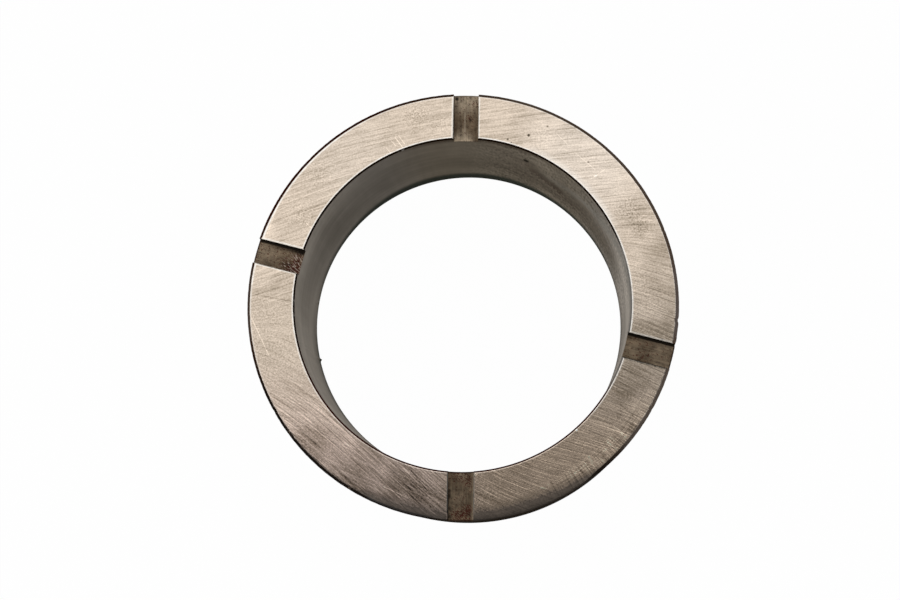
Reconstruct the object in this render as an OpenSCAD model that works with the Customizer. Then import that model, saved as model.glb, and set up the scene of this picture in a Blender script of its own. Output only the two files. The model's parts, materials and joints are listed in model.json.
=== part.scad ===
// Main bearing: a thick one-piece bearing ring that carries a crankshaft journal.
// It stands on its plain back face with its axis along Z. The thrust face is uppermost, and two straight passes
// of a cutter have left four oil slots in it, which run from the bore out through the wall.

/* [Ring] */
// Outside diameter, which presses into the crankcase
outside_diameter = 81.7; // [78:0.1:110]
// Diameter of the bore, in which the journal runs
bore_diameter = 63.5; // [40:0.1:66]
// Length of the ring along its axis, from the back face to the thrust face
ring_length = 31.75; // [12:0.05:60]

/* [Edges] */
// Chamfer on both outer edges
outer_chamfer = 0.55; // [0.1:0.05:1.5]
// Chamfer on both edges of the bore
bore_chamfer = 0.3; // [0.1:0.05:1.2]

/* [Oil slots] */
// Width of a slot between its walls
slot_width = 4.8; // [2:0.1:8]
// Depth of a slot below the thrust face
slot_depth = 1.6; // [0.9:0.1:4]
// Radius that the cutter leaves where a wall meets the slot's floor
slot_corner_radius = 0.2; // [0.05:0.05:0.4]
// Bevel on the edges between the slots and the thrust face
slot_edge_break = 0.15; // [0.05:0.05:0.4]
// Direction of the first pass of the cutter, in degrees from the X axis
first_pass_angle = 90; // [60:1:120]
// Distance of the first pass from the ring's axis, towards its left as the cutter travels
first_pass_offset = -0.3; // [-1:0.05:1]
// Direction of the second pass, in degrees from the X axis
second_pass_angle = 166; // [140:1:200]
// Distance of the second pass from the ring's axis, towards its left
second_pass_offset = 0; // [-1:0.05:1]

/* [Hidden] */
$fn = 180;
corner_sides = 32;
ground_steel = [0.74, 0.71, 0.66];
// Distance that a cutter travels past the ring at each end of a pass, and stands above its face
overrun = 2;
outer_radius = outside_diameter / 2;
bore_radius = bore_diameter / 2;
pass_length = outside_diameter + 2 * overrun;

// Half section of the plain turned ring, with its four chamfered edges
module ring_section() {
    polygon([
        [bore_radius + bore_chamfer, 0],
        [outer_radius - outer_chamfer, 0],
        [outer_radius, outer_chamfer],
        [outer_radius, ring_length - outer_chamfer],
        [outer_radius - outer_chamfer, ring_length],
        [bore_radius + bore_chamfer, ring_length],
        [bore_radius, ring_length - bore_chamfer],
        [bore_radius, bore_chamfer]
    ]);
}

// The ring as it leaves the lathe
module turned_ring() {
    rotate_extrude()
        ring_section();
}

// Section of a slot, drawn upwards from the middle of its floor: square walls with a small radius in each
// bottom corner, and a bevel where the walls reach the thrust face
module slot_section() {
    half_width = slot_width / 2;
    half_mouth = half_width + slot_edge_break;
    top = slot_depth + overrun;
    // Between the walls
    translate([-half_width, slot_corner_radius])
        square([slot_width, top - slot_corner_radius]);
    // Between the corner radii
    translate([-half_width + slot_corner_radius, 0])
        square([slot_width - 2 * slot_corner_radius, top]);
    for (side = [-1, 1])
        translate([side * (half_width - slot_corner_radius), slot_corner_radius])
            circle(r = slot_corner_radius, $fn = corner_sides);
    // Broken edges at the thrust face
    polygon([
        [-half_width, slot_depth - slot_edge_break],
        [half_width, slot_depth - slot_edge_break],
        [half_mouth, slot_depth],
        [half_mouth, top],
        [-half_mouth, top],
        [-half_mouth, slot_depth]
    ]);
}

// Metal taken by one straight pass of the cutter, across the whole face and through both walls
module cutter_pass(direction, offset) {
    rotate([0, 0, direction])
        translate([-pass_length / 2, offset, ring_length - slot_depth])
            rotate([90, 0, 90])
                linear_extrude(height = pass_length)
                    slot_section();
}

// The finished bearing, which is one piece of metal
module bearing_ring() {
    color(ground_steel)
        difference() {
            turned_ring();
            cutter_pass(first_pass_angle, first_pass_offset);
            cutter_pass(second_pass_angle, second_pass_offset);
        }
}

bearing_ring();
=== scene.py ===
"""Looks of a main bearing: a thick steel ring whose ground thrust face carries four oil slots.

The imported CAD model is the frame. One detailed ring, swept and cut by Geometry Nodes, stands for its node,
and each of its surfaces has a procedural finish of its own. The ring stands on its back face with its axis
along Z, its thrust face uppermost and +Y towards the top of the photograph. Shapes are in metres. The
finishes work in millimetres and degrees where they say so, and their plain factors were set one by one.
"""
import json
import logging
import math
from dataclasses import dataclass
from enum import Enum
from typing import Any, Iterable, Union

import bpy
import numpy as np
from mathutils import Matrix, Vector


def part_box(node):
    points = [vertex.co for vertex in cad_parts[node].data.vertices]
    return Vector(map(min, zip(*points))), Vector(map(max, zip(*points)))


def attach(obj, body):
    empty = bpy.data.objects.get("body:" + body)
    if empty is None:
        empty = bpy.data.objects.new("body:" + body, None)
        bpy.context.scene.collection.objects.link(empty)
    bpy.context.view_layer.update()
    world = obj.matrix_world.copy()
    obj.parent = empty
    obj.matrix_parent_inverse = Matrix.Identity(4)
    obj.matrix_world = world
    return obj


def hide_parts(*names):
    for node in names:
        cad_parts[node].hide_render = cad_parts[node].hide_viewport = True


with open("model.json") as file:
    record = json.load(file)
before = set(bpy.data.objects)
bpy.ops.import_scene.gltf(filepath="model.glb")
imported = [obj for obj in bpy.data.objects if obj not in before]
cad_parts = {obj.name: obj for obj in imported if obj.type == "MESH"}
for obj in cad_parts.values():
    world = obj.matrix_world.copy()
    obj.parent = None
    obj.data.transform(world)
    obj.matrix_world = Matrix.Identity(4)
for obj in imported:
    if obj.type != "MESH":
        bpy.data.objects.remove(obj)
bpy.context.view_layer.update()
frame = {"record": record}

LOG = logging.getLogger("main_bearing")
NODE = "bearing_ring"
LAY_MAP = "lay"
SKIN = "skin"
MM = 0.001
MICRON = 1e-6
TO_MM = 1 / MM
TURN = 2 * math.pi
FULL_TURN = 360.0
TO_DEGREES = 180 / math.pi
TO_RADIANS = math.pi / 180
WHITE = (1.0, 1.0, 1.0, 1.0)

Colour = tuple[float, float, float]
Point = tuple[float, float]


class Wire:
    """An output socket, with the arithmetic that adds Math nodes to its tree."""

    def __init__(self, tree: "Tree", socket: bpy.types.NodeSocket) -> None:
        """Keeps the socket with the tree that it belongs to."""
        self.tree = tree
        self.socket = socket

    def __add__(self, other: "Value") -> "Wire":
        """Returns this value plus another."""
        return self.tree.maths("ADD", self, other)

    def __radd__(self, other: "Value") -> "Wire":
        """Returns another value plus this one."""
        return self.tree.maths("ADD", other, self)

    def __sub__(self, other: "Value") -> "Wire":
        """Returns this value less another."""
        return self.tree.maths("SUBTRACT", self, other)

    def __rsub__(self, other: "Value") -> "Wire":
        """Returns another value less this one."""
        return self.tree.maths("SUBTRACT", other, self)

    def __mul__(self, other: "Value") -> "Wire":
        """Returns this value times another."""
        return self.tree.maths("MULTIPLY", self, other)

    def __rmul__(self, other: "Value") -> "Wire":
        """Returns another value times this one."""
        return self.tree.maths("MULTIPLY", other, self)

    def __truediv__(self, other: "Value") -> "Wire":
        """Returns this value over another."""
        return self.tree.maths("DIVIDE", self, other)

    def __neg__(self) -> "Wire":
        """Returns this value with its sign turned."""
        return self.tree.maths("MULTIPLY", self, -1.0)

    def __abs__(self) -> "Wire":
        """Returns this value without its sign."""
        return self.tree.maths("ABSOLUTE", self)

    def __gt__(self, other: "Value") -> "Wire":
        """Returns 1 where this value is greater than another, else 0."""
        return self.tree.maths("GREATER_THAN", self, other)

    def __lt__(self, other: "Value") -> "Wire":
        """Returns 1 where this value is less than another, else 0."""
        return self.tree.maths("LESS_THAN", self, other)

    def least(self, other: "Value") -> "Wire":
        """Returns the smaller of this value and another."""
        return self.tree.maths("MINIMUM", self, other)

    def most(self, other: "Value") -> "Wire":
        """Returns the greater of this value and another."""
        return self.tree.maths("MAXIMUM", self, other)


Value = Union[Wire, int, float]
Hue = Union[Wire, Colour]
Corner = tuple[Value, Value, Value]
Sockets = dict[Union[str, int], Any]
FlatPlace = tuple[Wire, Wire, Wire, Wire]


class Tree:
    """A node tree of either kind, with one method that adds any node to it."""

    def __init__(self, tree: bpy.types.NodeTree) -> None:
        """Keeps the tree."""
        self.tree = tree

    def node(self, kind: str, settings: dict[str, Any] | None = None,
             sockets: Sockets | None = None) -> bpy.types.Node:
        """Adds a node.

        Args:
            kind: the node's type.
            settings: its properties, which are set first.
            sockets: values or wires for its inputs, by name or number.

        Returns:
            The new node.
        """
        made = self.tree.nodes.new(kind)
        for name, value in (settings or {}).items():
            setattr(made, name, value)
        for name, value in (sockets or {}).items():
            self.feed(made.inputs[name], value)
        return made

    def feed(self, socket: bpy.types.NodeSocket, value: Any) -> None:
        """Links a wire to a socket, or sets the socket's own value.

        Args:
            socket: the input that takes it.
            value: a wire, or a value of the socket's type.
        """
        if isinstance(value, Wire):
            self.tree.links.new(value.socket, socket)
        else:
            socket.default_value = value

    def wire(self, kind: str, settings: dict[str, Any] | None = None,
             sockets: Sockets | None = None, output: Union[str, int] = 0) -> Wire:
        """Adds a node and returns one of its outputs, by its name or number."""
        return Wire(self, self.node(kind, settings, sockets).outputs[output])

    def maths(self, operation: str, *values: Value) -> Wire:
        """Adds a Math node and returns what its operation makes of the values."""
        return self.wire("ShaderNodeMath", {"operation": operation}, dict(enumerate(values)))

    def clamp(self, value: Wire) -> Wire:
        """Returns the value held between 0 and 1."""
        return self.wire("ShaderNodeClamp", None, {0: value})

    def step(self, value: Wire, none: Value, full: Value) -> Wire:
        """Returns a smooth step from 0 at one bound to 1 at the other, which may be the lower of the two."""
        return self.wire("ShaderNodeMapRange", {"interpolation_type": "SMOOTHSTEP"},
                         {"Value": value, "From Min": none, "From Max": full})

    def between(self, value: Wire, *bounds: float) -> Wire:
        """Returns 1 between the inner two of four bounds, with a smooth step from 0 to either side."""
        return self.step(value, bounds[0], bounds[1]) * self.step(value, bounds[3], bounds[2])

    def blend(self, share: Value, first: Value, second: Value) -> Wire:
        """Returns the first value where the share is 0 and the second where it is 1."""
        return first + (second - first) * share

    def combine(self, x: Value, y: Value, z: Value = 0.0) -> Wire:
        """Returns the vector of three values."""
        return self.wire("ShaderNodeCombineXYZ", None, {0: x, 1: y, 2: z})

    def split(self, vector: Wire) -> tuple[Wire, Wire, Wire]:
        """Returns the three values of a vector."""
        x, y, z = self.node("ShaderNodeSeparateXYZ", None, {0: vector}).outputs
        return Wire(self, x), Wire(self, y), Wire(self, z)

    def noise(self, vector: Wire, scale: float, detail: float = 2.0, roughness: float = 0.5) -> Wire:
        """Returns noise about a half, by its waves to a unit and its octaves' number and strength."""
        sockets = {"Vector": vector, "Scale": scale, "Detail": detail, "Roughness": roughness}
        return self.wire("ShaderNodeTexNoise", None, sockets)

    def grain(self, x: Value, y: Value, z: Value = 0.0, detail: float = 1.0, roughness: float = 0.5,
              scale: float = 1.0) -> Wire:
        """Returns noise read at three values, of which the third can set one pattern apart from another."""
        return self.noise(self.combine(x, y, z), scale, detail, roughness)

    def hypot(self, x: Wire, y: Wire) -> Wire:
        """Returns the length of a flat vector."""
        return self.maths("SQRT", x * x + y * y)

    def turned(self, x: Wire, y: Wire, least: float = 0.0) -> Wire:
        """Returns the angle round the axis in degrees, over one turn from the least angle."""
        return self.maths("WRAP", self.maths("ARCTAN2", y, x) * TO_DEGREES, least + FULL_TURN, least)


@dataclass(frozen=True)
class Mark:
    """A straight mark, a scratch or a broader band of tone: in millimetres from the axis, or on the bore
    round it and down from the face.
    """

    start: Point
    end: Point
    width: float
    tone: float


@dataclass(frozen=True)
class Spot:
    """A round patch, in millimetres from the axis: a pit, a stain, rust, soot, or a broad patch of tone,
    where many paint light and shade.
    """

    centre: Point
    radius: float
    tone: float


class Paint(Tree):
    """The tree of a material, with the mixes and the shader that every finish ends in."""

    def __init__(self, material: bpy.types.Material) -> None:
        """Empties the material's tree and gives it an output.

        Args:
            material: the material that the tree belongs to.
        """
        material.use_nodes = True
        super().__init__(material.node_tree)
        self.tree.nodes.clear()
        self.output = self.node("ShaderNodeOutputMaterial")

    def mix(self, share: Value, first: Hue, second: Hue, blend_type: str = "MIX") -> Wire:
        """Mixes two colours.

        Args:
            share: how much of the second there is.
            first: the colour below.
            second: the colour above.
            blend_type: how the second acts on the first.

        Returns:
            The mixed colour.
        """
        below, above = [c if isinstance(c, Wire) else (*c, 1.0) for c in (first, second)]
        settings = {"data_type": "RGBA", "blend_type": blend_type, "clamp_result": False}
        return self.wire("ShaderNodeMix", settings, {0: share, 6: below, 7: above}, 2)

    def coats(self, base: Hue, *layers: tuple[Value, Hue]) -> Wire:
        """Lays colours over a base, one after another.

        Args:
            base: the colour below them all.
            layers: how far each of them covers, with its colour.

        Returns:
            The colour that shows.
        """
        for share, colour in layers:
            base = self.mix(share, base, colour)
        return base

    def scaled(self, colour: Hue, factor: Wire) -> Wire:
        """Returns a colour made lighter or darker by a factor."""
        return self.wire("ShaderNodeVectorMath", {"operation": "SCALE"}, {"Vector": colour, "Scale": factor})

    def place(self) -> Wire:
        """Returns the object's own coordinates, in metres."""
        return self.wire("ShaderNodeTexCoord", output="Object")

    def flat_place(self) -> FlatPlace:
        """Reads the place on a level surface.

        Returns:
            Millimetres from the axis along X, along Y and straight, and degrees round it.
        """
        x, y, _ = self.split(self.place())
        x, y = x * TO_MM, y * TO_MM
        return x, y, self.hypot(x, y), self.turned(x, y)

    def lay(self) -> tuple[Wire, Wire]:
        """Returns millimetres along and across the tool marks, from the piece's own map."""
        along, across, _ = self.split(self.wire("ShaderNodeUVMap", {"uv_map": LAY_MAP}))
        return along * TO_MM, across * TO_MM

    def sector(self, turned: Wire, middle: float, half: float, soft: float) -> Wire:
        """Returns 1 in a stretch round the axis, in degrees, fading to 0 over the soft part of each half."""
        off = abs(self.maths("WRAP", turned - middle, FULL_TURN / 2, -FULL_TURN / 2))
        return self.step(off, half, half - soft)

    def line(self, x: Wire, y: Wire, mark: Mark) -> Wire:
        """Masks a straight scratch.

        Args:
            x: millimetres from the axis along X.
            y: millimetres from the axis along Y.
            mark: the scratch.

        Returns:
            1 on the scratch, fading to 0 beside it.
        """
        run = (mark.end[0] - mark.start[0], mark.end[1] - mark.start[1])
        square = run[0] ** 2 + run[1] ** 2
        part = self.clamp((x - mark.start[0]) * (run[0] / square) + (y - mark.start[1]) * (run[1] / square))
        off = self.hypot(x - mark.start[0] - part * run[0], y - mark.start[1] - part * run[1])
        return self.step(off, mark.width * 0.75, mark.width * 0.25)

    def patches(self, x: Wire, y: Wire, spots: tuple[Spot, ...], total: Value = 0.0,
                reach: float = 1.5, core: float = 0.3) -> Wire:
        """Adds round patches to a value.

        Args:
            x: millimetres from the axis along X.
            y: millimetres from the axis along Y.
            spots: the patches.
            total: the value that they are added to.
            reach: where a patch ends, in its radii.
            core: where it starts to fade, in its radii.

        Returns:
            The value with the patches in it.
        """
        for spot in spots:
            off = self.hypot(x - spot.centre[0], y - spot.centre[1])
            total = self.step(off, spot.radius * reach, spot.radius * core) * spot.tone + total
        return total

    def thread(self, x: Value, y: Value, z: Value, half: float) -> Wire:
        """Returns 1 along thin lines, where a noise is within a half width of its middle value."""
        return self.step(abs(self.grain(x, y, z, 0.0, 0.55) - 0.5), half, half * 0.3)

    def bump(self, height: Wire) -> Wire:
        """Returns the normal that a height in metres gives."""
        return self.wire("ShaderNodeBump", None, {"Strength": 1.0, "Distance": 1.0, "Height": height})

    def close(self, colour: Wire, roughness: Value, metallic: Value, normal: Wire,
              tint: Colour = (1.0, 1.0, 1.0), level: float = 0.5) -> None:
        """Ends the tree in its shader.

        Args:
            colour: the base colour.
            roughness: the roughness over the surface.
            metallic: how far the surface is bare metal.
            normal: the bumped normal.
            tint: colour of the grazing gleam, the same all over.
            level: strength of the plain gleam, the same all over.
        """
        sockets = {"Base Color": colour, "Roughness": roughness, "Metallic": metallic, "Normal": normal,
                   "Specular Tint": (*tint, 1.0), "Specular IOR Level": level}
        shader = self.node("ShaderNodeBsdfPrincipled", None, sockets)
        self.tree.links.new(shader.outputs[0], self.output.inputs["Surface"])


SCRATCHES = (
    Mark((-39.9, -3.2), (-36.4, -10.2), 0.15, 0.60), Mark((-14.0, -34.7), (-9.5, -36.7), 0.14, 0.9),
    Mark((-8.9, -31.7), (-3.4, -38.3), 0.20, -0.45), Mark((29.8, -19.0), (32.3, -21.0), 0.20, -0.4),
    Mark((35.1, 0.4), (38.7, -1.4), 0.14, 0.5), Mark((33.6, -5.8), (36.8, -6.7), 0.18, 0.7),
    Mark((-14.9, 30.0), (-14.1, 29.0), 0.14, 0.45), Mark((-14.0, 31.4), (-13.1, 30.4), 0.14, 0.50),
    Mark((-13.3, 32.1), (-11.8, 30.1), 0.16, 0.60), Mark((-12.6, 32.4), (-11.4, 30.8), 0.14, 0.45),
    Mark((-29.9, 15.1), (-28.8, 14.1), 0.14, 0.45), Mark((21.2, 29.2), (25.2, 25.7), 0.16, 0.28),
    Mark((24.2, 23.9), (26.9, 25.8), 0.14, 0.30), Mark((26.1, 23.5), (29.3, 23.5), 0.14, -0.22),
    Mark((20.4, 25.6), (24.2, 25.8), 0.16, -0.22), Mark((18.5, 28.9), (24.2, 29.5), 0.16, -0.20),
    Mark((22.3, 27.0), (25.0, 27.4), 0.18, -0.25), Mark((17.6, 33.0), (20.2, 30.4), 0.12, 0.3),
    Mark((-37.4, 13.0), (-35.2, 19.6), 0.22, 0.30), Mark((15.1, -34.5), (16.4, -34.7), 0.18, 0.9),
    Mark((20.6, -32.6), (21.7, -31.6), 0.34, 0.55), Mark((22.1, -31.3), (23.5, -29.9), 0.30, 0.50),
    Mark((24.6, -31.0), (26.3, -29.5), 0.20, 0.35), Mark((26.7, -29.2), (27.4, -28.4), 0.34, 0.45),
    Mark((28.3, -27.5), (29.4, -26.7), 0.24, 0.35), Mark((30.4, -25.3), (31.1, -24.3), 0.30, 0.40),
    Mark((32.4, -22.5), (33.5, -20.8), 0.24, 0.35), Mark((33.7, -21.5), (34.8, -20.0), 0.34, 0.32),
    Mark((24.8, -27.9), (26.5, -29.5), 0.20, 0.55), Mark((26.9, -26.8), (28.0, -28.4), 0.20, 0.30),
    Mark((28.7, -26.2), (29.2, -27.5), 0.22, 0.35), Mark((22.3, -31.1), (23.9, -32.7), 0.24, -0.40),
    Mark((21.5, -30.0), (22.8, -31.4), 0.20, -0.28), Mark((25.6, -28.4), (26.7, -29.9), 0.20, -0.30),
    Mark((28.1, -25.7), (29.1, -26.9), 0.22, -0.30), Mark((23.4, -30.5), (24.6, -32.0), 0.20, -0.25),
    # The widest marks here are broad bands that lighten or darken the face beside the slots.
    Mark((32.6, -20.0), (33.3, -20.8), 0.30, -0.35), Mark((33.9, -5.7), (39.6, -7.1), 5.0, -0.36),
    Mark((30.6, -10.35), (38.37, -12.29), 0.30, -0.60), Mark((-2.9, -36.3), (-7.7, -35.6), 3.2, -0.36),
    Mark((-2.9, 34.5), (-7.7, 33.8), 2.4, 0.20), Mark((-38.9, 1.2), (-32.2, -0.1), 0.14, -0.3),
    Mark((-38.7, 0.7), (-32.4, -0.6), 0.12, 0.25),
)
# Small pits and stains, and broad patches that lighten or darken the face sector by sector. The broad ones
# are painted light and shade.
SPOTS = (
    Spot((12.4, 32.5), 0.26, -0.85), Spot((8.4, 31.7), 0.20, -0.75), Spot((9.1, 31.1), 0.16, -0.65),
    Spot((16.0, 34.3), 0.20, -0.75), Spot((23.8, 27.3), 0.18, -0.55), Spot((-5.2, -38.4), 0.20, -0.6),
    Spot((-6.3, -38.6), 0.16, -0.5), Spot((31.6, 17.4), 2.4, -0.13), Spot((33.4, 14.0), 1.4, -0.10),
    Spot((23.0, 28.0), 12.0, 0.14), Spot((38.5, 9.5), 3.6, -0.14), Spot((32.2, 8.6), 1.8, 0.12),
    Spot((-8.2, 33.2), 2.6, -0.08), Spot((-29.5, -28.4), 4.1, -0.35), Spot((-21.1, -35.2), 4.3, -0.34),
    Spot((-10.4, -37.1), 4.3, -0.31), Spot((31.3, -14.8), 3.6, -0.24), Spot((-36.0, 0.0), 4.6, -0.07),
    Spot((-32.6, 0.5), 1.6, -0.08), Spot((-31.4, -18.1), 4.0, -0.06), Spot((-17.2, -28.7), 3.2, -0.22),
    Spot((-10.4, -32.6), 3.0, -0.20), Spot((-10.2, -38.1), 1.6, 0.16), Spot((18.0, -31.2), 4.4, 0.17),
    Spot((26.0, -26.0), 4.4, 0.16), Spot((39.4, 1.0), 3.0, -0.14), Spot((38.0, 11.5), 2.0, -0.08),
    Spot((34.0, 19.6), 2.0, -0.12), Spot((-23.9, -23.9), 3.0, -0.14), Spot((-19.4, 33.6), 4.0, 0.09),
    Spot((33.6, -19.4), 3.2, 0.13), Spot((-37.5, -10.0), 3.4, -0.06), Spot((19.2, -33.4), 2.6, -0.13),
    Spot((27.6, -27.6), 3.0, -0.10), Spot((34.2, -19.0), 2.4, 0.20), Spot((36.4, 3.4), 1.6, -0.09),
    Spot((34.6, -1.2), 1.6, 0.08), Spot((38.9, -3.0), 1.3, -0.20), Spot((-37.2, 12.7), 2.0, 0.22),
    Spot((-38.6, 4.9), 2.4, 0.15), Spot((25.2, 24.6), 0.16, 0.5), Spot((21.7, -23.8), 0.22, 1.4),
    Spot((3.05, -32.3), 0.24, 0.9),
)
BUSY = (
    Spot((-9.4, 36.6), 2.4, 0.9), Spot((-4.8, 34.6), 1.8, 0.7), Spot((-27.7, 24.7), 2.4, 0.7),
    Spot((-30.5, 16.0), 1.8, 0.7), Spot((31.2, 18.2), 2.0, 1.3), Spot((33.8, 15.0), 2.0, 1.3),
    Spot((33.6, 4.4), 2.4, 0.7), Spot((15.0, 32.6), 2.0, 0.4), Spot((36.0, 0.5), 3.4, 0.3),
    Spot((4.6, -36.0), 3.0, 0.6), Spot((-31.5, 18.0), 3.0, 0.35),
)
# Patches where the steel is painted paler: a painted sheen where the face mirrors the overhead lamp.
PAINTED_SHEEN = (
    Spot((23.0, 28.0), 12.0, 1.0), Spot((-22.0, 28.0), 9.0, 0.45),
)
RUST = (
    Spot((-32.0, 6.0), 1.7, 0.95), Spot((-31.6, 8.3), 1.3, 0.6), Spot((-34.0, 7.2), 1.3, 0.40),
    Spot((-0.9, -32.6), 1.1, 0.55), Spot((0.9, -32.7), 1.2, 0.5), Spot((2.2, -33.6), 1.3, 0.5),
    Spot((0.9, -39.6), 1.7, 0.75), Spot((-1.0, -39.7), 1.0, 0.5), Spot((2.3, -38.6), 1.0, 0.6),
    Spot((0.2, -36.6), 1.0, 0.25), Spot((2.0, 39.2), 0.9, 0.5), Spot((1.0, 36.2), 0.8, 0.5),
    Spot((34.2, -9.6), 1.4, 0.30), Spot((32.6, -6.4), 1.0, 0.25), Spot((35.5, -7.3), 0.9, 0.15),
)
SOOT = (
    Spot((-33.3, 10.3), 0.45, 0.6), Spot((-32.5, 10.1), 0.50, 0.7), Spot((-31.7, 9.9), 0.50, 0.8),
    Spot((-30.8, 9.75), 0.60, 1.1), Spot((-1.55, 40.2), 0.40, 0.9), Spot((1.15, 35.9), 0.30, 0.7),
    Spot((-2.0, -36.2), 0.50, 0.8), Spot((-1.95, -35.3), 0.40, 0.8), Spot((-1.9, -38.5), 0.45, 0.8),
    Spot((-1.9, -40.0), 0.45, 0.7),
)
FLOOR_MARKS = (
    Mark((0.07, 32.6), (0.07, 37.4), 0.30, 0.8), Mark((-0.5, 38.0), (-0.5, 40.6), 0.24, 0.5),
    Mark((0.7, 37.6), (0.7, 40.6), 0.24, 0.5), Mark((1.4, 39.0), (1.4, 40.6), 0.20, 0.4),
)
LIGHT_FLOORS = (
    Spot((-0.3, 40.8), 3.2, 1.25), Spot((-0.3, 31.6), 2.0, 1.14), Spot((-0.4, 34.3), 1.0, 0.20),
    Spot((-38.6, 9.5), 3.6, 0.24), Spot((38.8, -9.7), 5.0, 0.30), Spot((32.0, -8.0), 2.0, 0.16),
    Spot((0.3, -35.6), 2.8, 0.17), Spot((0.3, -32.0), 1.2, 0.28), Spot((0.3, -38.2), 2.0, 0.12),
)


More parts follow.
